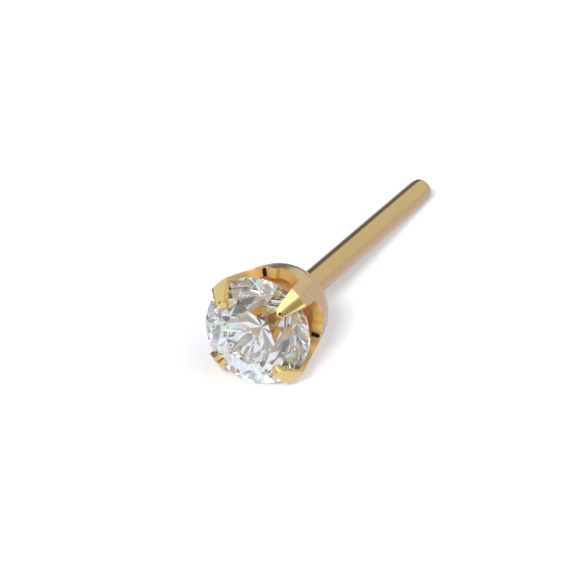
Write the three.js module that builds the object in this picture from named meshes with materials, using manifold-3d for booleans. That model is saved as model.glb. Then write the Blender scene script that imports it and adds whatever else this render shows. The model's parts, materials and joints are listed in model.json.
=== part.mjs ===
// A stud earring lying on a flat surface: a round brilliant-cut stone in a four-claw cup
// setting, with a straight post soldered to the back of the cup.
// Millimetres, +Z up. The stone faces -Y, the post runs towards +Y, and the stud rests on
// the edge of the cup and on the end of the post.

import * as THREE from 'three';
import { ConvexGeometry } from 'three/addons/geometries/ConvexGeometry.js';
import { mergeVertices } from 'three/addons/utils/BufferGeometryUtils.js';
import Module from 'manifold-3d';

const wasm = await Module();
wasm.setup();

// Both pieces are drawn on the stud's own axis: local +Z is the way the stone faces, and
// z = 0 is the middle of the stone's girdle, its widest line.

// ---- driving dimensions ----

const STONE_RADIUS = 1.5;
const TABLE_RATIO = 0.5;
const CROWN_ANGLE = degrees(37.5);
const PAVILION_ANGLE = degrees(46);
const GIRDLE_THICKNESS = 0.09;
const STAR_REACH = 0.47;
const LOWER_GIRDLE_REACH = 0.75;
const GIRDLE_SIDES = 96;
const STONE_CLEARANCE = 0.03;

const FOLD_RADIUS = 1.665;
const CUP_TAPER = degrees(11);
const CUP_WALL = 0.29;
const BOWL_RADIUS = 1.345;

const CLAWS = 4;
const CLAW_SLOPE = degrees(55.8);
const CLAW_THICKNESS = 0.24;
const CLAW_LENGTH = 0.85;
const CLAW_HALF_WIDTH = 0.33;
const CLAW_TIP_RADIUS = 0.17;

// A notch is two round cuts side by side, with a small flat-topped nub left between them
// and a mouth above. Its widths are measured round the wall, at this radius.
const NOTCH_MEASURED_AT = 1.5;
const NOTCH_ROUND_RADIUS = 0.45;
const NOTCH_ROUND_OFFSET = 0.388;
const NOTCH_ROUND_DEPTH = 0.74;
const NOTCH_MOUTH_HALF_WIDTH = 0.888;
const NUB_DEPTH = 0.95;
const NUB_HALF_WIDTH = 0.12;
const NUB_HALF_FOOT = 0.16;

const POST_RADIUS = 0.37;
const POST_END = 12.95;
const POST_END_ROUNDING = 0.16;
const SOLDER_FILLET = 0.14;

const TURNED_SIDES = 64;
const ARC_STEPS = 8;
const PAST = 1;

// ---- worked-out dimensions ----

const HALF_GIRDLE = GIRDLE_THICKNESS / 2;
const TABLE_RADIUS = TABLE_RATIO * STONE_RADIUS;
const MAIN_FACETS = 8;
const HALF_STEP = Math.PI / MAIN_FACETS;
const TABLE_HEIGHT = HALF_GIRDLE + (STONE_RADIUS - TABLE_RADIUS) * Math.tan(CROWN_ANGLE);
const CULET = -HALF_GIRDLE - STONE_RADIUS * Math.tan(PAVILION_ANGLE);

const BOWL_CENTRE = (BOWL_RADIUS / Math.cos(CUP_TAPER) - FOLD_RADIUS) / Math.tan(CUP_TAPER);

function degrees(angle) {
  return THREE.MathUtils.degToRad(angle);
}

// A point at a radius and a turn round the axis.
function polar(radius, turn, z) {
  return new THREE.Vector3(radius * Math.cos(turn), radius * Math.sin(turn), z);
}

// Points along an arc, both ends included.
function arc(centre, radius, from, to) {
  const points = [];
  for (let i = 0; i <= ARC_STEPS; i++) {
    const angle = THREE.MathUtils.lerp(from, to, i / ARC_STEPS);
    const x = centre.x + radius * Math.cos(angle);
    const y = centre.y + radius * Math.sin(angle);
    points.push(new THREE.Vector2(x, y));
  }
  return points;
}

// Where the line through p along d meets the line through q along e.
function crossing(p, d, q, e) {
  const share = q.clone().sub(p).cross(e) / d.cross(e);
  return p.clone().addScaledVector(d, share);
}

// ---- solids ----

function toSolid(geometry) {
  const bare = geometry.clone();
  bare.deleteAttribute('normal');
  bare.deleteAttribute('uv');
  const merged = mergeVertices(bare, 1e-5);
  const corners = Array.from(merged.index.array);
  const triVerts = [];
  for (let i = 0; i < corners.length; i += 3) {
    const [a, b, c] = corners.slice(i, i + 3);
    if (a !== b && b !== c && c !== a) triVerts.push(a, b, c);
  }
  const mesh = new wasm.Mesh({
    numProp: 3,
    vertProperties: Float32Array.from(merged.attributes.position.array),
    triVerts: Uint32Array.from(triVerts),
  });
  return new wasm.Manifold(mesh);
}

function toGeometry(solid) {
  const mesh = solid.getMesh();
  const geometry = new THREE.BufferGeometry();
  geometry.setAttribute('position', new THREE.BufferAttribute(mesh.vertProperties, 3));
  geometry.setIndex(new THREE.BufferAttribute(mesh.triVerts, 1));
  return geometry;
}

// A solid of revolution about the stud's axis, with one of its flats facing straight down.
function turned(profile) {
  const geometry = new THREE.LatheGeometry(profile, TURNED_SIDES);
  geometry.rotateX(Math.PI / 2);
  geometry.rotateZ(Math.PI / TURNED_SIDES);
  return toSolid(geometry);
}

// ---- stone ----

// The star, kite and upper girdle facets meet at a ring of points on the crown, and the
// pavilion mains and lower girdle facets at a ring below. Both lie on the lines where two
// neighbouring main facets cross.
function mainsCrossing(radius, angle) {
  return HALF_GIRDLE + (STONE_RADIUS - radius * Math.cos(HALF_STEP)) * Math.tan(angle);
}

const tableEdge = TABLE_RADIUS * Math.cos(HALF_STEP);
const starRadius = THREE.MathUtils.lerp(tableEdge, STONE_RADIUS, STAR_REACH);
const lowerRadius = STONE_RADIUS * (1 - LOWER_GIRDLE_REACH);

const crownRing = new THREE.Vector2(starRadius, mainsCrossing(starRadius, CROWN_ANGLE));
const pavilionRing = new THREE.Vector2(lowerRadius, -mainsCrossing(lowerRadius, PAVILION_ANGLE));

// A girdle facet's plane holds a point of its ring and two points of the round girdle, a
// sixteenth of a turn apart. This is the height where it cuts the girdle at another turn.
function girdleCut(ring, turn, side) {
  const within = THREE.MathUtils.euclideanModulo(turn, 2 * HALF_STEP);
  const fromMain = within > HALF_STEP ? 2 * HALF_STEP - within : within;
  const plane = new THREE.Plane().setFromCoplanarPoints(
    polar(STONE_RADIUS, 0, side * HALF_GIRDLE),
    polar(STONE_RADIUS, HALF_STEP, side * HALF_GIRDLE),
    polar(ring.x, HALF_STEP, ring.y),
  );
  const rim = polar(STONE_RADIUS, fromMain, 0);
  return -plane.distanceToPoint(rim) / plane.normal.z;
}

function brilliant() {
  const points = [new THREE.Vector3(0, 0, CULET)];
  for (let i = 0; i < MAIN_FACETS; i++) {
    const main = 2 * HALF_STEP * i;
    points.push(polar(TABLE_RADIUS, main, TABLE_HEIGHT));
    points.push(polar(crownRing.x, main + HALF_STEP, crownRing.y));
    points.push(polar(pavilionRing.x, main + HALF_STEP, pavilionRing.y));
  }
  for (let i = 0; i < GIRDLE_SIDES; i++) {
    const turn = (2 * Math.PI * i) / GIRDLE_SIDES;
    points.push(polar(STONE_RADIUS, turn, girdleCut(crownRing, turn, 1)));
    points.push(polar(STONE_RADIUS, turn, girdleCut(pavilionRing, turn, -1)));
  }
  return new ConvexGeometry(points);
}

// The seat is the stone's outline turned about the axis and let out by the clearance, so
// that the claws hold the stone without touching it.
function seat() {
  const out = STONE_CLEARANCE;
  return turned([
    new THREE.Vector2(0, CULET - out),
    new THREE.Vector2(pavilionRing.x + out, pavilionRing.y - out),
    new THREE.Vector2(STONE_RADIUS + out, -HALF_GIRDLE - out),
    new THREE.Vector2(STONE_RADIUS + out, HALF_GIRDLE + out),
    new THREE.Vector2(crownRing.x + out, crownRing.y + out),
    new THREE.Vector2(TABLE_RADIUS + out, TABLE_HEIGHT + out),
    new THREE.Vector2(0, TABLE_HEIGHT + out),
  ]);
}

// ---- setting ----

// Cup, claws and post in one turned solid, before the claws are cut apart: up the outside
// from the end of the post, over the claws, and down the inside of the cup.
function turnedHead() {
  const wallDown = new THREE.Vector2(-Math.sin(CUP_TAPER), -Math.cos(CUP_TAPER));
  const wallIn = new THREE.Vector2(-Math.cos(CUP_TAPER), Math.sin(CUP_TAPER));
  const clawUp = new THREE.Vector2(-Math.cos(CLAW_SLOPE), Math.sin(CLAW_SLOPE));
  const clawIn = new THREE.Vector2(-Math.sin(CLAW_SLOPE), -Math.cos(CLAW_SLOPE));
  const fold = new THREE.Vector2(FOLD_RADIUS, 0);
  const clawEnd = fold.clone().addScaledVector(clawUp, CLAW_LENGTH + CLAW_TIP_RADIUS);
  const wallInside = fold.clone().addScaledVector(wallIn, CUP_WALL);
  const clawInside = fold.clone().addScaledVector(clawIn, CLAW_THICKNESS);
  const innerFold = crossing(wallInside, wallDown, clawInside, clawUp);

  const bowl = new THREE.Vector2(0, BOWL_CENTRE);
  const filletOut = POST_RADIUS + SOLDER_FILLET;
  const filletDrop = Math.sqrt((BOWL_RADIUS + SOLDER_FILLET) ** 2 - filletOut ** 2);
  const fillet = new THREE.Vector2(filletOut, BOWL_CENTRE - filletDrop);
  const filletEnd = Math.atan2(filletDrop, -filletOut);
  const bowlStart = Math.atan2(-filletDrop, filletOut);
  const rounding = new THREE.Vector2(POST_RADIUS - POST_END_ROUNDING, POST_END_ROUNDING - POST_END);

  return turned([
    new THREE.Vector2(0, -POST_END),
    ...arc(rounding, POST_END_ROUNDING, -Math.PI / 2, 0),
    ...arc(fillet, SOLDER_FILLET, Math.PI, filletEnd),
    ...arc(bowl, BOWL_RADIUS, bowlStart, -CUP_TAPER).slice(1),
    fold,
    clawEnd,
    clawEnd.clone().addScaledVector(clawIn, CLAW_THICKNESS),
    innerFold,
    ...arc(bowl, BOWL_RADIUS - CUP_WALL, -CUP_TAPER, -Math.PI / 2).slice(0, -1),
    new THREE.Vector2(0, BOWL_CENTRE - BOWL_RADIUS + CUP_WALL),
  ]);
}

// One notch, punched straight through the wall towards the axis. It is drawn flat, with x
// round the wall and y along the axis, and then wrapped round the axis.
function notch(turn) {
  const r = NOTCH_ROUND_RADIUS;
  const right = new THREE.Vector2(NOTCH_ROUND_OFFSET, -NOTCH_ROUND_DEPTH);
  const left = new THREE.Vector2(-NOTCH_ROUND_OFFSET, -NOTCH_ROUND_DEPTH);
  const foot = Math.acos((NOTCH_ROUND_OFFSET - NUB_HALF_FOOT) / r);
  const outline = new THREE.Shape([
    new THREE.Vector2(-NOTCH_MOUTH_HALF_WIDTH, PAST),
    new THREE.Vector2(-NOTCH_MOUTH_HALF_WIDTH, 0),
    ...arc(left, r, -Math.PI, -foot),
    new THREE.Vector2(-NUB_HALF_WIDTH, -NUB_DEPTH),
    new THREE.Vector2(NUB_HALF_WIDTH, -NUB_DEPTH),
    ...arc(right, r, foot - Math.PI, 0),
    new THREE.Vector2(NOTCH_MOUTH_HALF_WIDTH, 0),
    new THREE.Vector2(NOTCH_MOUTH_HALF_WIDTH, PAST),
  ]);
  const inner = STONE_RADIUS / 2;
  const depth = FOLD_RADIUS + PAST - inner;
  const geometry = new THREE.ExtrudeGeometry(outline, { depth, bevelEnabled: false });
  const position = geometry.attributes.position;
  for (let i = 0; i < position.count; i++) {
    const round = turn + position.getX(i) / NOTCH_MEASURED_AT;
    const placed = polar(inner + position.getZ(i), round, position.getY(i));
    position.setXYZ(i, placed.x, placed.y, placed.z);
  }
  return toSolid(geometry);
}

// What is cut away round one folded claw, straight through its thickness: it narrows from
// the fold to a round tip.
function clawTrim(turn) {
  const tip = new THREE.Vector2(0, CLAW_LENGTH - CLAW_TIP_RADIUS);
  const outline = new THREE.Shape([
    new THREE.Vector2(-PAST, 0),
    new THREE.Vector2(-CLAW_HALF_WIDTH, 0),
    ...arc(tip, CLAW_TIP_RADIUS, Math.PI, 0),
    new THREE.Vector2(CLAW_HALF_WIDTH, 0),
    new THREE.Vector2(PAST, 0),
    new THREE.Vector2(PAST, CLAW_LENGTH + PAST),
    new THREE.Vector2(-PAST, CLAW_LENGTH + PAST),
  ]);
  const depth = 3 * CLAW_THICKNESS;
  const geometry = new THREE.ExtrudeGeometry(outline, { depth, bevelEnabled: false });
  geometry.translate(0, 0, CLAW_THICKNESS - depth);
  const across = polar(1, turn + Math.PI / 2, 0);
  const along = polar(-Math.cos(CLAW_SLOPE), turn, Math.sin(CLAW_SLOPE));
  const outward = polar(Math.sin(CLAW_SLOPE), turn, Math.cos(CLAW_SLOPE));
  const place = new THREE.Matrix4().makeBasis(across, along, outward);
  place.setPosition(polar(FOLD_RADIUS, turn, 0));
  geometry.applyMatrix4(place);
  return toSolid(geometry);
}

function clawSetting() {
  let setting = turnedHead().subtract(seat());
  for (let i = 0; i < CLAWS; i++) {
    const turn = (2 * Math.PI * i) / CLAWS;
    setting = setting.subtract(notch(turn));
    setting = setting.subtract(clawTrim(turn + Math.PI / CLAWS));
  }
  return toGeometry(setting);
}

// ---- the stud, laid down ----

function piece(name, geometry, material) {
  const mesh = new THREE.Mesh(geometry, material);
  mesh.name = name;
  return mesh;
}

const gold = new THREE.MeshStandardMaterial({ color: 0xd8b45a, roughness: 0.18, metalness: 1 });
const crystal = new THREE.MeshStandardMaterial({ color: 0xf2f4f6, roughness: 0.02, metalness: 0 });

const stud = new THREE.Group();
stud.add(piece('claw_setting_with_post', clawSetting(), gold));
stud.add(piece('stone', brilliant(), crystal));

// It rests on the nub of the lowest notch and on the lower edge of the post's end.
const flat = Math.cos(Math.PI / TURNED_SIDES);
const nubRadius = FOLD_RADIUS - NUB_DEPTH * Math.tan(CUP_TAPER);
const restDrop = (nubRadius - POST_RADIUS) * flat;
const restSpan = POST_END - POST_END_ROUNDING - NUB_DEPTH;
stud.rotation.x = Math.PI / 2 - Math.atan2(restDrop, restSpan);

stud.updateMatrixWorld(true);
const box = new THREE.Box3().setFromObject(stud, true);
const middle = box.getCenter(new THREE.Vector3());
stud.position.set(-middle.x, -middle.y, -box.min.z);

export default stud;
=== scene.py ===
# %% [markdown]
# # A stud earring
# A small round brilliant-cut stone sits in a gold cup with four claws. A straight post, the part
# that goes through the ear, is soldered to the back of the cup. The earring lies on a pale
# surface, on the small nub at the cup's lower edge and on the end of its post.
#
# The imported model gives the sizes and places. The stone stays as it is there, because flat
# facets are exactly what a cut stone has. The metal is made again here, with finer curves and
# with the small rounding that polishing leaves along every edge.

# %% Load the frame
import json
from math import acos, asin, cos, degrees, pi, radians, sin, sqrt, tan

import bmesh
import bpy
from mathutils import Matrix, Vector


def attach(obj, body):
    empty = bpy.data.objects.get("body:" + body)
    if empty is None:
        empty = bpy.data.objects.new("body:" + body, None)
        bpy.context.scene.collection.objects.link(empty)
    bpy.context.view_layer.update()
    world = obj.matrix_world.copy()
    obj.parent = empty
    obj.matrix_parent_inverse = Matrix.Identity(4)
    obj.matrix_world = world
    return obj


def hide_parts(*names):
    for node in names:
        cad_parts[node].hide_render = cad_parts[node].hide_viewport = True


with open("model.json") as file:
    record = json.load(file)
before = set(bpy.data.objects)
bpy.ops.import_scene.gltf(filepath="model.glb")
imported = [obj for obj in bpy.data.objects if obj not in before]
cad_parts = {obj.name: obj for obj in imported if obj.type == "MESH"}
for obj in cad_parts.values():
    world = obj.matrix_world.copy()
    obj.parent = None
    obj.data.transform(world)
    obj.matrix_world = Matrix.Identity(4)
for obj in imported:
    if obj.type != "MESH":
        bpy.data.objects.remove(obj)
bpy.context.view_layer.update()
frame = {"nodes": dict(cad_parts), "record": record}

MM = 0.001
print("nodes:", sorted(frame["nodes"]))

# %% [markdown]
# ## The stud's own axis
# A setting is easiest to model upright, with its axis along Z and the stone facing up. It could
# also be modelled where it lies, but then every ring and row would be tilted. Zero is the middle
# of the stone's girdle, its widest line. Lengths are millimetres until the finished metal is laid
# down. The record's mount on the end of the post gives the axis and its place.

# %% Axis and girdle
POST_END = 12.95  # from the girdle to the end of the post

mount = frame["record"]["mounts"][0]
facing = -Vector(mount["axis"]).normalized()
girdle = Vector(mount["pos_m"]) + facing * POST_END * MM
up_the_stud = facing.cross(Vector((1, 0, 0)))
laid_down = Matrix((Vector((1, 0, 0)), up_the_stud, facing)).transposed().to_4x4()
laid_down.translation = girdle
print("girdle at, mm:", [round(c / MM, 3) for c in girdle])
print("axis above level, degrees:", round(degrees(asin(facing.z)), 2))

# %% [markdown]
# ## Small tools for modelling
# Each new mesh starts as one point, extruded along a line, which is how a profile is drawn by
# hand. A mesh could also be written out corner by corner, but the operators keep faces and edges
# joined by themselves. An operator acts on everything selected, so the tools below select by
# place first.

# %% Modelling tools
def start_point(name, place):
    # a plane whose corners are merged at its middle leaves one point, still in edit mode
    bpy.ops.object.select_all(action="DESELECT")
    bpy.ops.mesh.primitive_plane_add(size=1, location=(0, 0, 0))
    bpy.context.object.name = name
    bpy.context.object.data.name = name
    bpy.ops.object.mode_set(mode="EDIT")
    bpy.ops.mesh.select_all(action="SELECT")
    bpy.ops.mesh.merge(type="CENTER")
    bpy.ops.transform.translate(value=place)
    return bpy.context.object


def extrude(step):
    bpy.ops.mesh.extrude_region_move(TRANSFORM_OT_translate={"value": step})


def draw(places):
    for here, there in zip(places, places[1:]):
        extrude(Vector(there) - Vector(here))


def select(obj, test):
    cage = bmesh.from_edit_mesh(obj.data)
    bpy.ops.mesh.select_all(action="DESELECT")
    for vert in cage.verts:
        vert.select_set(test(vert.co))
    cage.select_flush(True)
    bmesh.update_edit_mesh(obj.data)


def arc(centre, radius, first, last, steps):
    turns = [first + (last - first) * i / steps for i in range(steps + 1)]
    return [(centre[0] + radius * cos(t), centre[1] + radius * sin(t)) for t in turns]


def apply(obj, kind, **settings):
    bpy.context.view_layer.objects.active = obj
    modifier = obj.modifiers.new(kind.lower(), kind)
    for name, value in settings.items():
        setattr(modifier, name, value)
    bpy.ops.object.modifier_apply(modifier=modifier.name)


# %% [markdown]
# ## The blank of the cup
# A cup like this is stamped out of sheet and drawn to shape. It could also be spun from a profile
# and then cut, but its faces wouldn't follow the cuts, and their edges couldn't be rounded well.
# So it is drawn flat here too: X runs round the wall and Z along it, and the middle of a claw is
# at X = 0. Only half of one quarter is drawn, from the middle of a claw to the middle of the next
# notch. A notch is two round cuts with a small nub left between them.

# %% Sizes of the blank
CLAWS = 4
FLAT_RADIUS = 1.5  # widths along the blank are those of a ring with this radius
HALF_PITCH = pi * FLAT_RADIUS / CLAWS
ROUND_RADIUS = 0.45
ROUND_OFFSET = 0.388  # from the middle of the notch to the middle of a round cut
ROUND_DEPTH = 0.74  # from the fold of the claws down to the middle of a round cut
NUB_HALF_FOOT = 0.16

FOLD_RADIUS = 1.665  # outside, where the claws fold in
CUP_TAPER = radians(11)
BOWL_RADIUS = 1.345
POST_RADIUS = 0.37
SOLDER_FILLET = 0.14

bowl_centre = (BOWL_RADIUS / cos(CUP_TAPER) - FOLD_RADIUS) / tan(CUP_TAPER)
wall_foot = bowl_centre - BOWL_RADIUS * sin(CUP_TAPER)
fillet_out = POST_RADIUS + SOLDER_FILLET
fillet_turn = acos(fillet_out / (BOWL_RADIUS + SOLDER_FILLET))
bowl_length = BOWL_RADIUS * (fillet_turn - CUP_TAPER)
print("wall ends at, mm:", round(wall_foot, 3), "bowl length:", round(bowl_length, 3))

# %% [markdown]
# ## Below the notch
# The rows below the notch start as one line along its edge. Each extrusion of that line is
# flattened a little more, so that the last row is straight. A grid could be bent to the notch
# instead, but this way the rows follow its edge by themselves.

# %% Draw half a quarter of the blank
NUB_COLUMNS = 2
ROUND_COLUMNS = 8
CLAW_COLUMNS = 4
WALL_ROWS = 4
BOWL_ROWS = 9
SHOULDER_TURN = -pi / 4  # where the claw's rows leave the round cut

foot_turn = acos((ROUND_OFFSET - NUB_HALF_FOOT) / ROUND_RADIUS)
foot = -ROUND_DEPTH - ROUND_RADIUS * sin(foot_turn)
cut_centre = (ROUND_OFFSET - HALF_PITCH, -ROUND_DEPTH)
cut_line = arc(cut_centre, ROUND_RADIUS, foot_turn - pi, SHOULDER_TURN, ROUND_COLUMNS)
nub_line = [(i * NUB_HALF_FOOT / NUB_COLUMNS - HALF_PITCH, foot) for i in range(NUB_COLUMNS)]
shoulder = cut_line[-1]
claw_line = [(shoulder[0] * (1 - i / CLAW_COLUMNS), shoulder[1]) for i in range(1, CLAW_COLUMNS + 1)]
edge_line = [(x, 0, z) for x, z in nub_line + cut_line + claw_line]

cup = start_point("claw_cup", edge_line[0])
draw(edge_line)
bpy.ops.mesh.select_all(action="SELECT")
for row in range(WALL_ROWS, 0, -1):
    extrude((0, 0, 0))
    flatter = (1, 1, (row - 1) / row)
    bpy.ops.transform.resize(value=flatter, center_override=(0, 0, wall_foot))
for row in range(BOWL_ROWS):
    extrude((0, 0, -bowl_length / BOWL_ROWS))
print("rows below the notch:", WALL_ROWS + BOWL_ROWS, "columns:", len(edge_line) - 1)

# %% [markdown]
# ## Nub
# The nub is the bit of sheet that two round cutters leave between them. It grows from the same
# line: every new row is extruded up and then scaled across to its width. A knife could cut the
# shape out of a plain sheet, but rows that are scaled keep all faces four-sided.

# %% Nub
NUB_DEPTH = 0.95
NUB_HALF_WIDTH = 0.12
NUB_ROWS = 2
SMALL = 1e-4  # closer than this is the same place

nub_step = (foot + NUB_DEPTH) / NUB_ROWS
nub_widths = [
    NUB_HALF_FOOT + (NUB_HALF_WIDTH - NUB_HALF_FOOT) * i / NUB_ROWS for i in range(NUB_ROWS + 1)
]
nub_edge = NUB_HALF_FOOT - HALF_PITCH + SMALL
select(cup, lambda co: co.x < nub_edge and abs(co.z - foot) < SMALL)
for before, after in zip(nub_widths, nub_widths[1:]):
    extrude((0, 0, -nub_step))
    narrower = (after / before, 1, 1)
    bpy.ops.transform.resize(value=narrower, center_override=(-HALF_PITCH, 0, 0))
print("nub's half width, foot to top, mm:", [round(width, 3) for width in nub_widths])

# %% [markdown]
# ## Claw
# The claw is the wall that is left between two notches, and it narrows to its tip. It could be a
# piece of its own that is joined on, but on the real cup it is the same sheet. So it is made in
# the same way as the nub, row by row, along the round cut, the open mouth of the notch and the
# claw's side. Its end stays square for now, and gets its round tip when the blank is bent up.

# %% Claw
MOUTH_HALF_WIDTH = 0.888
CLAW_LENGTH = 0.85
CLAW_TIP_RADIUS = 0.17
CUT_ROWS = 4
MOUTH_ROWS = 5
CLAW_ROWS = 6
TIP_ROWS = 3

mouth = MOUTH_HALF_WIDTH - HALF_PITCH
tip_half_width = CLAW_TIP_RADIUS * FLAT_RADIUS / FOLD_RADIUS
tip_start = CLAW_LENGTH - CLAW_TIP_RADIUS
left_edge = arc(cut_centre, ROUND_RADIUS, SHOULDER_TURN, 0, CUT_ROWS)
cut_end = left_edge[-1]
left_edge += [
    (cut_end[0] + (mouth - cut_end[0]) * i / MOUTH_ROWS, cut_end[1] * (1 - i / MOUTH_ROWS))
    for i in range(1, MOUTH_ROWS + 1)
]
left_edge += [
    (mouth + (-tip_half_width - mouth) * i / CLAW_ROWS, tip_start * i / CLAW_ROWS)
    for i in range(1, CLAW_ROWS + 1)
]
left_edge += [
    (-tip_half_width, tip_start + CLAW_TIP_RADIUS * i / TIP_ROWS)
    for i in range(1, TIP_ROWS + 1)
]
select(cup, lambda co: co.x > shoulder[0] - SMALL and abs(co.z - shoulder[1]) < SMALL)
for before, after in zip(left_edge, left_edge[1:]):
    extrude((0, 0, after[1] - before[1]))
    across = (after[0] / before[0], 1, 1)
    bpy.ops.transform.resize(value=across, center_override=(0, 0, 0))
bpy.ops.object.mode_set(mode="OBJECT")
print("half a quarter:", len(cup.data.polygons), "faces")

# %% [markdown]
# ## The whole blank
# The four quarters of the cup are alike. All could be drawn, but then each change of size would
# have to be made eight times. A mirror and an array turn the half quarter into the whole blank,
# as long as the cup is round.

# %% Mirror and repeat
apply(cup, "MIRROR", use_axis=(True, False, False), merge_threshold=SMALL)
apply(
    cup, "ARRAY", count=CLAWS, use_relative_offset=False, use_constant_offset=True,
    constant_offset_displace=(2 * HALF_PITCH, 0, 0), use_merge_vertices=True, merge_threshold=SMALL,
)
print("blank:", len(cup.data.polygons), "faces")

# %% [markdown]
# ## Rolling up the cup
# The press draws the sheet into a bowl, and the setter folds the claws over the stone. No
# operator draws sheet to a bowl, and a bend modifier only bends one way, so each point goes to
# its place on the cup by a short formula: the straight wall, the bowl below it, and the claws
# folded in above. The square end of a claw becomes round with the usual square-to-circle formula.

# %% Places on the cup
CLAW_SLOPE = radians(55.8)


def on_claw(x, along):
    if along > tip_start:
        side = x / tip_half_width
        ahead = (along - tip_start) / CLAW_TIP_RADIUS
        x = tip_half_width * side * sqrt(1 - ahead * ahead / 2)
        along = tip_start + CLAW_TIP_RADIUS * ahead * sqrt(1 - side * side / 2)
    radius = FOLD_RADIUS - along * cos(CLAW_SLOPE)
    return x * FOLD_RADIUS / radius, radius, along * sin(CLAW_SLOPE)


def on_cup(x, down):
    if down > wall_foot:
        return x, FOLD_RADIUS + down * tan(CUP_TAPER), down
    turn = CUP_TAPER + (wall_foot - down) / BOWL_RADIUS
    return x, BOWL_RADIUS * cos(turn), bowl_centre - BOWL_RADIUS * sin(turn)


print("a claw's tip at radius, height:", [round(c, 3) for c in on_claw(0, CLAW_LENGTH)[1:]])

# %% Roll
claw_corners = [v.index for v in cup.data.vertices if v.co.z > SMALL]
claw_group = cup.vertex_groups.new(name="claws")
claw_group.add(claw_corners, 1, "REPLACE")
for vert in cup.data.vertices:
    claw = round(vert.co.x / (2 * HALF_PITCH))
    from_claw = vert.co.x - claw * 2 * HALF_PITCH
    place = on_claw if vert.co.z > SMALL else on_cup
    x, radius, height = place(from_claw, vert.co.z)
    turn = x / FLAT_RADIUS + (claw + 0.5) * 2 * pi / CLAWS
    vert.co = (radius * cos(turn), radius * sin(turn), height)
print("corners in the claws:", len(claw_corners))

# %% Close the round
# The two ends of the blank meet now, and corners that lie on each other become one.
bpy.ops.object.select_all(action="DESELECT")
cup.select_set(True)
bpy.context.view_layer.objects.active = cup
bpy.ops.object.mode_set(mode="EDIT")
bpy.ops.mesh.select_all(action="SELECT")
bpy.ops.mesh.remove_doubles(threshold=SMALL)
bpy.ops.mesh.normals_make_consistent(inside=False)
bpy.ops.object.mode_set(mode="OBJECT")
outward = sum(p.normal.dot(Vector((p.center.x, p.center.y, 0))) > 0 for p in cup.data.polygons)
print("skin:", len(cup.data.polygons), "faces,", outward, "pointing outwards")

# %% [markdown]
# ## Closing the bottom
# The bowl of the real cup is one piece of sheet, closed at its bottom. A face with many corners
# could fill the hole, but it would stay flat. So the lowest ring of the skin is extruded and
# scaled, ring by ring, down to one point.

# %% Close the bottom
CAP_ROWS = 4


def on_ring(ring, co):
    return abs(Vector((co.x, co.y)).length - ring[0]) < SMALL and abs(co.z - ring[1]) < SMALL


def next_ring(before, after):
    extrude((0, 0, after[1] - before[1]))
    wider = after[0] / before[0]
    bpy.ops.transform.resize(value=(wider, wider, 1), center_override=(0, 0, 0))


cap_rings = arc((0, bowl_centre), BOWL_RADIUS, -fillet_turn, -pi / 2, CAP_ROWS)
bpy.ops.object.mode_set(mode="EDIT")
bpy.ops.mesh.select_mode(type="VERT")
select(cup, lambda co: on_ring(cap_rings[0], co))
for before, after in zip(cap_rings[:-1], cap_rings[1:-1]):
    next_ring(before, after)
extrude((0, 0, cap_rings[-1][1] - cap_rings[-2][1]))
bpy.ops.mesh.merge(type="CENTER")
bpy.ops.object.mode_set(mode="OBJECT")
print("closed:", len(cup.data.polygons), "faces")

# %% [markdown]
# ## Thickness
# Up to here the cup is a skin. A second skin could be drawn inside it, but Solidify keeps the
# sheet's thickness even by itself. It goes inwards, and is a little less in the folded claws,
# which are filed down.

# %% Thickness
CUP_WALL = 0.29
CLAW_THICKNESS = 0.24

apply(
    cup, "SOLIDIFY", thickness=CUP_WALL, offset=-1, use_even_offset=True,
    vertex_group="claws", invert_vertex_group=True, thickness_vertex_group=CLAW_THICKNESS / CUP_WALL,
)
cup.vertex_groups.clear()
print("walled:", len(cup.data.polygons), "faces")

# %% [markdown]
# ## Fillet and post
# The post is a length of wire, soldered to the cup, and the solder leaves a small fillet round
# it. A separate cylinder would only touch the cup. So the small cap outside is deleted again, and
# its ring is extruded into the fillet and the post: one skin, as soldered metal is one solid.

# %% Fillet and post
POST_END_ROUNDING = 0.16
FILLET_STEPS = 5
POST_ROWS = 6
END_STEPS = 4

fillet_centre = (fillet_out, bowl_centre - (BOWL_RADIUS + SOLDER_FILLET) * sin(fillet_turn))
fillet = arc(fillet_centre, SOLDER_FILLET, pi - fillet_turn, pi, FILLET_STEPS)
post_top = fillet[-1][1]
end_corner = (POST_RADIUS - POST_END_ROUNDING, POST_END_ROUNDING - POST_END)
post_length = post_top - end_corner[1]
post = [(POST_RADIUS, post_top - post_length * i / POST_ROWS) for i in range(1, POST_ROWS)]
rounding = arc(end_corner, POST_END_ROUNDING, 0, -pi / 2, END_STEPS)
outer_rings = fillet + post + rounding

bpy.ops.object.mode_set(mode="EDIT")
select(cup, lambda co: co.z < cap_rings[0][1] - SMALL)
bpy.ops.mesh.delete(type="VERT")
select(cup, lambda co: on_ring(cap_rings[0], co))
for before, after in zip(outer_rings, outer_rings[1:]):
    next_ring(before, after)
bpy.ops.mesh.edge_face_add()
bpy.ops.mesh.inset(thickness=end_corner[0] / 2)
bpy.ops.mesh.merge(type="CENTER")
bpy.ops.object.mode_set(mode="OBJECT")
print("with its post:", len(cup.data.polygons), "faces")

# %% [markdown]
# ## Polished edges
# Tumbling and buffing take the sharpness off every edge, and the thin bright lines that show on
# the real metal are those rounded edges. The edges could be rounded in the material alone, but
# then the shape would stay sharp. A bevel makes them, and one level of subdivision then smooths
# the curved walls between them.

# %% Round the edges
EDGE_ROUNDING = 0.03
EDGE_ANGLE = radians(28)
EDGE_SEGMENTS = 2
SMOOTH_LEVELS = 1

apply(
    cup, "BEVEL", width=EDGE_ROUNDING, segments=EDGE_SEGMENTS, limit_method="ANGLE",
    angle_limit=EDGE_ANGLE, use_clamp_overlap=True,
)
apply(cup, "SUBSURF", levels=SMOOTH_LEVELS, render_levels=SMOOTH_LEVELS)
print("polished:", len(cup.data.polygons), "faces")

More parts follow.
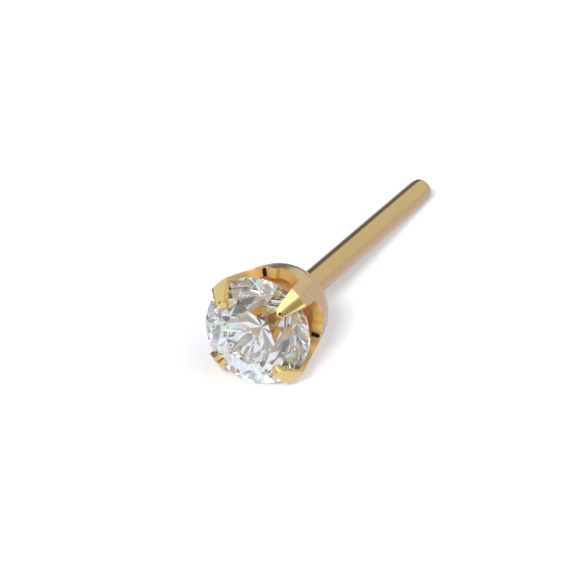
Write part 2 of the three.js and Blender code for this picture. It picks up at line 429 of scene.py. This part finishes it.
# %% [markdown]
# ## The stone's outline
# The setter cuts a seat into the wall and the claws with a bur that has the stone's own outline,
# so that they hold it all round. The outline could be typed in again, but it is surer to read it
# from the stone's own corners: each has a distance from the axis and a height.

# %% Outline of the stone
upright = (laid_down @ Matrix.Scale(MM, 4)).inverted()
stone = frame["nodes"]["stone"]
corners = [upright @ v.co for v in stone.data.vertices]
stone_rings = {(round(Vector((c.x, c.y)).length, 2), round(c.z, 2)) for c in corners}
stone_radius = max(ring[0] for ring in stone_rings)
inner_rings = [ring for ring in stone_rings if ring[0] < stone_radius]
girdle_heights = [ring[1] for ring in stone_rings if ring[0] == stone_radius]
girdle_rings = [(stone_radius, min(girdle_heights)), (stone_radius, max(girdle_heights))]
outline = sorted(inner_rings + girdle_rings, key=lambda ring: ring[1])
print("stone outline, radius and height:", outline)

# %% [markdown]
# ## The seat
# The bur is that outline, let out by a hair and spun about the axis. Cutting with it leaves the
# same small gap all round the stone, which scaling the stone up for a cutter wouldn't do.

# %% Cut the seat
SEAT_CLEARANCE = 0.03
SEAT_STEPS = 96

bur_line = [(0, 0, outline[0][1] - SEAT_CLEARANCE)]
for radius, height in outline[1:]:
    away = SEAT_CLEARANCE if height > 0 else -SEAT_CLEARANCE
    bur_line.append((radius + SEAT_CLEARANCE, 0, height + away))
bur_line.append((0, 0, outline[-1][1] + SEAT_CLEARANCE))

bur = start_point("bur", bur_line[0])
draw(bur_line)
bpy.ops.mesh.select_all(action="SELECT")
bpy.ops.mesh.spin(steps=SEAT_STEPS, angle=2 * pi, center=(0, 0, 0), axis=(0, 0, 1))
bpy.ops.mesh.select_all(action="SELECT")
bpy.ops.mesh.remove_doubles(threshold=SMALL)
bpy.ops.mesh.normals_make_consistent(inside=False)
bpy.ops.object.mode_set(mode="OBJECT")
apply(cup, "BOOLEAN", operation="DIFFERENCE", solver="EXACT", object=bur)
bpy.data.objects.remove(bur)
print("with its seat:", len(cup.data.polygons), "faces")

# %% [markdown]
# ## Cleaning the cut
# Metal is clean after the bur, but a cut mesh has a few faces without area, whose corners lie on
# one line or on each other. They don't show, but a mesh with them isn't properly closed. They
# could be picked out one by one. It is simpler to merge corners that lie on one spot and to
# dissolve every face without area.

# %% Clean the cut
bpy.ops.object.select_all(action="DESELECT")
cup.select_set(True)
bpy.context.view_layer.objects.active = cup
bpy.ops.object.mode_set(mode="EDIT")
bpy.ops.mesh.select_mode(type="VERT")
bpy.ops.mesh.select_all(action="SELECT")
bpy.ops.mesh.remove_doubles(threshold=SMALL)
bpy.ops.mesh.dissolve_degenerate(threshold=SMALL)
bpy.ops.object.mode_set(mode="OBJECT")
print("cleaned:", len(cup.data.polygons), "faces")

# %% [markdown]
# ## Laying the metal down
# The real stud tips over until its nub and its post's end touch the surface. A physics simulation
# could find that place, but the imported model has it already. The finished metal is shrunk from
# millimetres to metres and laid along the axis. Its place is then applied, so that the object
# itself stays at the origin.

# %% Lay down
SMOOTH_ANGLE = radians(32)

bpy.ops.object.select_all(action="DESELECT")
cup.select_set(True)
bpy.context.view_layer.objects.active = cup
cup.matrix_world = laid_down @ Matrix.Scale(MM, 4)
bpy.ops.object.transform_apply(location=True, rotation=True, scale=True)
bpy.ops.object.shade_smooth_by_angle(angle=SMOOTH_ANGLE)
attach(cup, "root")
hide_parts("claw_setting_with_post")
print("laid down, width, length and height in mm:", [round(side / MM, 3) for side in cup.dimensions])

# %% [markdown]
# ## Materials
# Colours are given as on a screen and turned to linear light by one function. One more function
# adds a node with its settings and links. Nodes could also be added one by one, but a material
# then takes many more lines.

# %% Colour and node helpers
def linear(code):
    channels = [int(code[i:i + 2], 16) / 255 for i in (1, 3, 5)]
    return [c / 12.92 if c <= 0.04045 else ((c + 0.055) / 1.055) ** 2.4 for c in channels] + [1]


def add_node(tree, kind, settings=None, values=None, links=None):
    node = tree.nodes.new(kind)
    for name, value in (settings or {}).items():
        setattr(node, name, value)
    for name, value in (values or {}).items():
        node.inputs[name].default_value = value
    for name, source in (links or {}).items():
        tree.links.new(source, node.inputs[name])
    return node


def new_material(name):
    material = bpy.data.materials.new(name)
    material.use_nodes = True
    material.node_tree.nodes.clear()
    return material, material.node_tree


def finish_piece(obj, material):
    obj.data.materials.clear()
    obj.data.materials.append(material)


# %% [markdown]
# ### Gold plate
# The metal is brass under a thin, polished layer of yellow gold. Gold mirrors what is round it,
# tinted warm, and tints it again wherever metal mirrors metal. It has three finishes. The outside
# is polished, and shows clear, sharp mirror images. The inside of the cup is satin, because no
# buff reaches it, and the cut edges are brushed by the file that trimmed them: both scatter light,
# so they look matt and glow orange. A rough metal alone stays too dark there, so these two are
# made partly non-metallic, and the satin inside is given a paler, brighter gold than the outside:
# painted light that lifts the inside of the cup, where little light reaches.
# One colour would do for new plate, but thin places look redder and thick ones paler, so two
# tints are mixed.

# %% Colours of the gold
GOLD = "#E7C886"
GOLD_THIN = "#DFBF7C"
CUT_GOLD = "#DBB46D"
CUT_GOLD_THIN = "#D4AA5B"
# paler and brighter than the polished gold: painted light that lifts the dim inside of the cup
BRIGHTENED_INNER_GOLD = "#FFD58A"
BRIGHTENED_INNER_GOLD_THIN = "#FCC66F"
print("polished gold, linear:", [round(c, 3) for c in linear(GOLD)[:3]])

# %% [markdown]
# ### Painted black marks
# Round black patches are painted into the gold colour: a spot near the tips of three claws, and
# a short slit of painted shade in the round cut just behind two of the nubs, where that corner
# mirrors the dark inside of the cup. Each is a round black patch, and a slit is three in a row.

# %% Places of the painted black
# painted black: spots near three claw tips, and slits of painted shade behind two nubs
SPECK_REACH = 0.05 * MM
SPECK_TURNS = (45, 135, 225)  # degrees round the stud's axis
SPECK_RADIUS, SPECK_HEIGHT = 1.22, 0.63
SHADE_SLIT_REACH = 0.085 * MM
SHADE_SLIT_TURNS = (104.5, -14.5)
SHADE_SLIT_RADII = (1.19, 1.26, 1.33)
SHADE_SLIT_HEIGHT = -1.15


def place_on_the_stud(turn, radius, height):
    a = radians(turn)
    return laid_down @ (Vector((radius * cos(a), radius * sin(a), height)) * MM)


PAINTED_BLACK_PATCHES = [
    (place_on_the_stud(turn, SPECK_RADIUS, SPECK_HEIGHT), SPECK_REACH) for turn in SPECK_TURNS
]
PAINTED_BLACK_PATCHES += [
    (place_on_the_stud(turn, radius, SHADE_SLIT_HEIGHT), SHADE_SLIT_REACH)
    for turn in SHADE_SLIT_TURNS for radius in SHADE_SLIT_RADII
]
print("patches of paste:", len(PAINTED_BLACK_PATCHES))

# %% Painted black over a colour
# the black that is painted into the gold colour; in the slits it is painted shade
PAINTED_BLACK = "#0A0806"
BLACK_CORE = 0.6  # a patch is quite black out to this part of its reach, and then fades


# paints the black patches into a colour; the slits are painted shade
def add_painted_black(tree, place, colour):
    for spot, reach in PAINTED_BLACK_PATCHES:
        away = add_node(
            tree, "ShaderNodeVectorMath", settings={"operation": "DISTANCE"},
            values={1: spot}, links={0: place},
        )
        outside_the_black = add_node(
            tree, "ShaderNodeMapRange",
            values={"From Min": BLACK_CORE * reach, "From Max": reach},
            links={"Value": away.outputs["Value"]},
        )
        blackened = add_node(
            tree, "ShaderNodeMix", settings={"data_type": "RGBA"},
            values={"A": linear(PAINTED_BLACK)},
            links={"Factor": outside_the_black.outputs["Result"], "B": colour},
        )
        colour = blackened.outputs["Result"]
    return colour


print("paste, linear:", [round(c, 4) for c in linear(PAINTED_BLACK)[:3]])

# %% [markdown]
# ### The shader of the gold
# Buffing leaves the surface slightly uneven, in waves of about 0.3 mm, with hairlines about
# 0.05 mm apart, drawn coarser than the real ones so that they show. The waves and hairlines could
# be modelled, but they are far flatter than a face is wide, so two bumps make them. The hairlines
# are stretched along the post, the way the buff runs, and also vary the roughness.

# %% Gold plate
WAVE_PER_M = 1 / (0.3 * MM)
WAVE_HEIGHT = 0.02 * MM
WAVE_STRENGTH = 0.12
HAIRLINE_PER_M = 1 / (0.05 * MM)
HAIRLINE_DEPTH = 0.003 * MM
HAIRLINE_STRENGTH = 0.03
HAIRLINE_STRETCH = (1, 0.12, 1)


def gold_plate(name, thick, thin, smoothest, roughest, metallic=1):
    gold, tree = new_material(name)
    place = add_node(tree, "ShaderNodeTexCoord").outputs["Object"]
    wave = add_node(
        tree, "ShaderNodeTexNoise", values={"Scale": WAVE_PER_M, "Detail": 2, "Roughness": 0.45},
        links={"Vector": place},
    )
    stretched = add_node(
        tree, "ShaderNodeMapping", values={"Scale": HAIRLINE_STRETCH}, links={"Vector": place},
    )
    hairline = add_node(
        tree, "ShaderNodeTexNoise", values={"Scale": HAIRLINE_PER_M, "Detail": 3},
        links={"Vector": stretched.outputs["Vector"]},
    )
    tint = add_node(
        tree, "ShaderNodeMix", settings={"data_type": "RGBA"},
        values={"A": linear(thick), "B": linear(thin)}, links={"Factor": wave.outputs["Fac"]},
    )
    rough = add_node(
        tree, "ShaderNodeMapRange", values={"To Min": smoothest, "To Max": roughest},
        links={"Value": hairline.outputs["Fac"]},
    )
    swell = add_node(
        tree, "ShaderNodeBump", values={"Strength": WAVE_STRENGTH, "Distance": WAVE_HEIGHT},
        links={"Height": wave.outputs["Fac"]},
    )
    lines = add_node(
        tree, "ShaderNodeBump",
        values={"Strength": HAIRLINE_STRENGTH, "Distance": HAIRLINE_DEPTH},
        links={"Height": hairline.outputs["Fac"], "Normal": swell.outputs["Normal"]},
    )
    metal = add_node(
        tree, "ShaderNodeBsdfPrincipled", values={"Metallic": metallic},
        links={
            "Base Color": add_painted_black(tree, place, tint.outputs["Result"]),
            "Roughness": rough.outputs["Result"],
            "Normal": lines.outputs["Normal"],
        },
    )
    add_node(tree, "ShaderNodeOutputMaterial", links={"Surface": metal.outputs["BSDF"]})
    return gold


# %% Three finishes
polished = gold_plate("polished_gold_plate", GOLD, GOLD_THIN, smoothest=0.07, roughest=0.15)
satin = gold_plate(
    "satin_gold_plate", BRIGHTENED_INNER_GOLD, BRIGHTENED_INNER_GOLD_THIN, smoothest=0.42, roughest=0.56, metallic=0.3,
)
brushed = gold_plate(
    "brushed_gold_plate", CUT_GOLD, CUT_GOLD_THIN, smoothest=0.38, roughest=0.5, metallic=0.5,
)
print("nodes in one gold:", len(polished.node_tree.nodes))

# %% [markdown]
# ### Which face has which finish
# The inside, the cut edges and the outside of the cup are told apart by where a face is and
# whether it looks in, sideways or out. The faces could be picked by hand in edit mode, but a rule
# still holds when a size changes. Claws above the fold and the post stay polished.

# %% Give out the finishes
POLISHED, SATIN, BRUSHED = 0, 1, 2
BELOW_THE_FOLD = -0.02
SIDEWAYS = 0.3
inner_bottom = bowl_centre - BOWL_RADIUS + CUP_WALL / 2

finish_piece(cup, polished)
cup.data.materials.append(satin)
cup.data.materials.append(brushed)
for face in cup.data.polygons:
    centre = upright @ face.center
    facing_out = (upright.to_3x3() @ face.normal).normalized()
    from_middle = Vector((centre.x, centre.y, min(0, centre.z - bowl_centre))).normalized()
    looks_out = facing_out.dot(from_middle)
    in_the_cup = BELOW_THE_FOLD > centre.z > inner_bottom
    if in_the_cup and looks_out < -SIDEWAYS:
        face.material_index = SATIN
    elif in_the_cup and looks_out < SIDEWAYS and centre.xy.length > fillet_out:
        face.material_index = BRUSHED
print("faces of each finish:", [
    sum(face.material_index == finish for face in cup.data.polygons)
    for finish in (POLISHED, SATIN, BRUSHED)
])

# %% [markdown]
# ### Cubic zirconia
# The stone is clear, flat-faceted and highly polished, with a refractive index of 2.15 to 2.18. It
# throws most of the light back out of its front after two or three mirrorings inside. Bright and
# dark facets could be painted on, but clear glass with the right index makes them by itself.
#
# A real stone also splits light into colours, its fire, which the renderer doesn't do. Faint
# tints in patches as wide as a small facet stand in for it. They could be tied to the facets,
# but real fire moves with the light, so patches by place do as well.

# %% Stone
STONE_IOR = 2.15
CLEAR_STONE = "#F5FBFB"
FIRE_PER_M = 1 / (0.35 * MM)
FIRE_STRENGTH = 0.19

crystal, tree = new_material("clear_cubic_zirconia")
place = add_node(tree, "ShaderNodeTexCoord").outputs["Object"]
flash = add_node(
    tree, "ShaderNodeTexVoronoi", values={"Scale": FIRE_PER_M}, links={"Vector": place},
)
fire = add_node(
    tree, "ShaderNodeMix", settings={"data_type": "RGBA"},
    values={"Factor": FIRE_STRENGTH, "A": linear(CLEAR_STONE)},
    links={"B": flash.outputs["Color"]},
)
glass = add_node(
    tree, "ShaderNodeBsdfPrincipled",
    values={"Roughness": 0.0, "IOR": STONE_IOR, "Transmission Weight": 1},
    links={"Base Color": fire.outputs["Result"]},
)
add_node(tree, "ShaderNodeOutputMaterial", links={"Surface": glass.outputs["BSDF"]})
finish_piece(stone, crystal)
print("stone:", len(stone.data.polygons), "faces, refractive index", STONE_IOR)

# %% [markdown]
# ## Floor
# The stud lies on a sheet of white acrylic that is lit from below as well, so that it comes out
# white and keeps only a soft shadow. Plain paper would look grey unless it were lit very hard,
# and that light would wash out the metal. Jewellery needs something dark to mirror too, or its
# edges are lost against the white. So the sheet looks darker behind the stud, and darkest at the
# far left, to everything but the eye.

# %% Floor
FLOOR_HALF = 1.5

bpy.ops.object.select_all(action="DESELECT")
bpy.ops.mesh.primitive_plane_add(size=2 * FLOOR_HALF, location=(0, 0, 0))
floor = bpy.context.object
floor.name = "floor"
print("floor, m:", [round(side, 2) for side in floor.dimensions])

# %% White acrylic
SEEN_TONE = (0.98, 0.98, 1, 1)  # for the eye
FRONT_TONE = (0.93, 0.96, 1, 1)  # this and the next two are for whatever mirrors the sheet
BACK_TONE = (0.62, 0.56, 0.66, 1)
FAR_LEFT_TONE = (0.19, 0.17, 0.19, 1)
GIVEN_BACK = (0.775, 0.79, 0.82, 1)  # the share of the light from above that is given back
LIT_FROM_BELOW = 0.32
FRONT_ENDS = -7 * MM
BACK_STARTS = -4 * MM
LEFT_STARTS = -1 * MM
FAR_LEFT_STARTS = -8 * MM

acrylic, tree = new_material("lit_white_acrylic")
floor_place = add_node(tree, "ShaderNodeTexCoord").outputs["Object"]
split = add_node(tree, "ShaderNodeSeparateXYZ", links={"Vector": floor_place})
behind = add_node(
    tree, "ShaderNodeMapRange", settings={"interpolation_type": "SMOOTHSTEP"},
    values={"From Min": FRONT_ENDS, "From Max": BACK_STARTS}, links={"Value": split.outputs["Y"]},
)
far_left = add_node(
    tree, "ShaderNodeMapRange", settings={"interpolation_type": "SMOOTHSTEP"},
    values={"From Min": LEFT_STARTS, "From Max": FAR_LEFT_STARTS},
    links={"Value": split.outputs["X"]},
)
back_tone = add_node(
    tree, "ShaderNodeMix", settings={"data_type": "RGBA"},
    values={"A": BACK_TONE, "B": FAR_LEFT_TONE}, links={"Factor": far_left.outputs["Result"]},
)
tone = add_node(
    tree, "ShaderNodeMix", settings={"data_type": "RGBA"}, values={"A": FRONT_TONE},
    links={"Factor": behind.outputs["Result"], "B": back_tone.outputs["Result"]},
)
seen = add_node(tree, "ShaderNodeLightPath").outputs["Is Camera Ray"]
colour = add_node(
    tree, "ShaderNodeMix", settings={"data_type": "RGBA"}, values={"B": SEEN_TONE},
    links={"Factor": seen, "A": tone.outputs["Result"]},
)
shade = add_node(
    tree, "ShaderNodeMix", settings={"data_type": "RGBA", "blend_type": "MULTIPLY"},
    values={"Factor": 1, "B": GIVEN_BACK}, links={"A": colour.outputs["Result"]},
)
sheet = add_node(
    tree, "ShaderNodeBsdfPrincipled",
    values={"Roughness": 0.9, "Specular IOR Level": 0.2, "Emission Strength": LIT_FROM_BELOW},
    links={"Base Color": shade.outputs["Result"], "Emission Color": colour.outputs["Result"]},
)
add_node(tree, "ShaderNodeOutputMaterial", links={"Surface": sheet.outputs["BSDF"]})
finish_piece(floor, acrylic)
print("nodes in the acrylic:", len(tree.nodes))

# %% [markdown]
# ## Room
# Polished gold shows little of itself and much of what stands round it. A room of one grey would
# make it look like plastic, so round cards with soft edges hang in the room, as in a jeweller's
# light tent. White cards and panels give the bright bands, dark ones the lines between them, the
# black ones the dark facets of the stone, and the gold one deepens the gold that shows through
# it. Cards could be planes with a material each, but in the world's shader they cast no shadow.
#
# A way is an azimuth and an elevation in degrees. Azimuth 0 is the side that the stone faces, and
# it grows towards +X. A card covers the cards that come before it in the list.

# %% Ways and cards
def way_to(azimuth, elevation):
    a, e = radians(azimuth), radians(elevation)
    return Vector((sin(a) * cos(e), -cos(a) * cos(e), sin(e)))


def grey(level):
    return (level, level, level, 1)


# azimuth and elevation, half width, soft edge, colour
CARDS = {
    "wall at the left": (-105, 15, 42, 20, (0.9, 0.96, 0.98, 1)),
    "wall in front": (0, 30, 45, 30, grey(0.82)),
    "grey at the right": (84, 38.5, 5, 4, grey(0.42)),
    "dim, where someone would look from": (22.9, 26.9, 20, 8, (0.43, 0.355, 0.25, 1)),
    "dark and warm, high": (40, 62, 12, 4, (0.24, 0.2, 0.13, 1)),
    "dark, high in front": (5, 58, 7, 3, grey(0.2)),
    "white, high": (-22, 51, 9, 3, grey(1.05)),
    "dark and cool, left": (-36, 39, 6, 3, (0.26, 0.3, 0.36, 1)),
    "dark, left": (-50, 26, 7, 3, grey(0.15)),
    "white, low": (50, 12, 8, 3, grey(1.05)),
    "black, in front": (-4, 29, 8, 4, grey(0.06)),
    "black, right": (36, 36, 8, 4, grey(0.06)),
    "black, low": (29, 4, 8, 4, grey(0.08)),
    "gold, low": (8, 15, 9, 4, (0.74, 0.39, 0.04, 1)),
    "dark, behind": (-153, 7, 12, 12, grey(0.15)),
}
print("cards:", len(CARDS))

# %% Room
ROOM_LIGHT = 0.72

room = bpy.data.worlds.new("room")
room.use_nodes = True
bpy.context.scene.world = room
tree = room.node_tree
tree.nodes.clear()
sight = add_node(tree, "ShaderNodeTexCoord").outputs["Generated"]
walls = add_node(tree, "ShaderNodeRGB")
walls.outputs["Color"].default_value = grey(ROOM_LIGHT)
light = walls.outputs["Color"]
for azimuth, elevation, half_width, soft_edge, card_colour in CARDS.values():
    towards = add_node(
        tree, "ShaderNodeVectorMath", settings={"operation": "DOT_PRODUCT"}, links={0: sight},
        values={1: way_to(azimuth, elevation)},
    )
    cover = add_node(
        tree, "ShaderNodeMapRange", settings={"interpolation_type": "SMOOTHSTEP"},
        values={
            "From Min": cos(radians(half_width + soft_edge / 2)),
            "From Max": cos(radians(half_width - soft_edge / 2)),
        },
        links={"Value": towards.outputs["Value"]},
    )
    with_card = add_node(
        tree, "ShaderNodeMix", settings={"data_type": "RGBA"}, values={"B": card_colour},
        links={"Factor": cover.outputs["Result"], "A": light},
    )
    light = with_card.outputs["Result"]
print("nodes in the room so far:", len(tree.nodes))

# %% [markdown]
# ## What the room lights
# The room is there to be mirrored. It would also light the floor evenly and wash out the shadow,
# so matt surfaces get only a little of it, and the eye sees plain white beyond the floor. The
# strength of the whole room could be turned down instead, but then the metal would go dark.

# %% Light paths
LIGHT_ON_MATT = 0.12

ray = add_node(tree, "ShaderNodeLightPath")
lit = add_node(
    tree, "ShaderNodeMix", settings={"data_type": "RGBA"},
    values={"B": grey(LIGHT_ON_MATT)},
    links={"Factor": ray.outputs["Is Diffuse Ray"], "A": light},
)
glow = add_node(tree, "ShaderNodeBackground", links={"Color": lit.outputs["Result"]})
plain = add_node(tree, "ShaderNodeBackground", values={"Color": grey(1)})
either = add_node(
    tree, "ShaderNodeMixShader",
    links={
        0: ray.outputs["Is Camera Ray"], 1: glow.outputs["Background"],
        2: plain.outputs["Background"],
    },
)
add_node(tree, "ShaderNodeOutputWorld", links={"Surface": either.outputs["Shader"]})
print("nodes in the room:", len(tree.nodes))

# %% [markdown]
# ## Panels of light
# Large soft panels are what a jeweller's table has. Two at the right make the bright side of the
# claws and the post, and one above shows only in mirrorings. Two in front make the soft shadow
# on the floor and light the matt gold in the cup. They aren't mirrored, because such strong
# lights would burn out the stone. One big panel would be simpler, but it would light everything
# from one side only.

# %% Panels
PANEL_DISTANCE = 2.0


def across(degrees_wide):
    return 2 * PANEL_DISTANCE * tan(radians(degrees_wide / 2))


def panel(name, azimuth, elevation, width, height, brightness):
    way = way_to(azimuth, elevation)
    light = bpy.data.lights.new(name, "AREA")
    light.shape = "RECTANGLE"
    light.size, light.size_y = across(width), across(height)
    light.energy = brightness * pi * across(width) * across(height)
    lamp = bpy.data.objects.new(name, light)
    bpy.context.scene.collection.objects.link(lamp)
    lamp.location = girdle + way * PANEL_DISTANCE
    lamp.rotation_euler = way.to_track_quat("Z", "Y").to_euler()
    print(name, "watts:", round(light.energy, 2))
    return lamp


# azimuth and elevation, width and height in degrees, brightness
panel("upper_right_panel", 84, 59, 50, 26, 1.5)
panel("lower_right_panel", 84, 30, 50, 5, 1.2)
top_panel = panel("top_panel", -20, 78, 30, 30, 1.5)
top_panel.visible_diffuse = False
front_left = panel("front_left_panel", 8, 34, 14, 10, 75)
front_right = panel("front_right_panel", 44, 36, 20, 16, 4)
for lamp in (front_left, front_right):
    lamp.visible_glossy = False
    lamp.visible_transmission = False

# %% [markdown]
# ## Camera
# The camera looks down on the stone from its right, with the post running away behind. A stud is
# so small that it is looked at from close by with a long lens. A short lens would make the stone
# look too big for its post. The camera aims a little above and to the right of the stone, so that
# the whole stud is in view.

# %% Camera
CAMERA_AZIMUTH = 22.9
CAMERA_ELEVATION = 26.9
CAMERA_DISTANCE = 80 * MM
AIM_RIGHT = 0.70 * MM
AIM_UP = 1.26 * MM
LENS = 189.3
SENSOR_WIDTH = 36
FARTHEST_SEEN = 10

toward = way_to(CAMERA_AZIMUTH, CAMERA_ELEVATION)
image_right = way_to(CAMERA_AZIMUTH + 90, 0)
image_up = toward.cross(image_right)
eye = bpy.data.cameras.new("eye")
camera = bpy.data.objects.new("eye", eye)
bpy.context.scene.collection.objects.link(camera)
camera.location = girdle + toward * CAMERA_DISTANCE
aim = girdle + image_right * AIM_RIGHT + image_up * AIM_UP
camera.rotation_euler = (camera.location - aim).to_track_quat("Z", "Y").to_euler()
eye.lens = LENS
eye.sensor_width = SENSOR_WIDTH
eye.clip_start = CAMERA_DISTANCE / 100
eye.clip_end = FARTHEST_SEEN
bpy.context.scene.camera = camera
bpy.context.scene.view_settings.view_transform = "Standard"
print("camera at, mm:", [round(c / MM, 2) for c in camera.location])

# %% [markdown]
# ## How far light is followed
# Light goes round and round inside a stone and inside the cup before it comes out. With the usual
# dozen turns some facets would stay black, so it is followed for longer.

# %% Bounces
LIGHT_BOUNCES = 32

paths = bpy.context.scene.cycles
paths.max_bounces = LIGHT_BOUNCES
paths.glossy_bounces = LIGHT_BOUNCES
paths.transmission_bounces = LIGHT_BOUNCES
print("bounces:", LIGHT_BOUNCES)
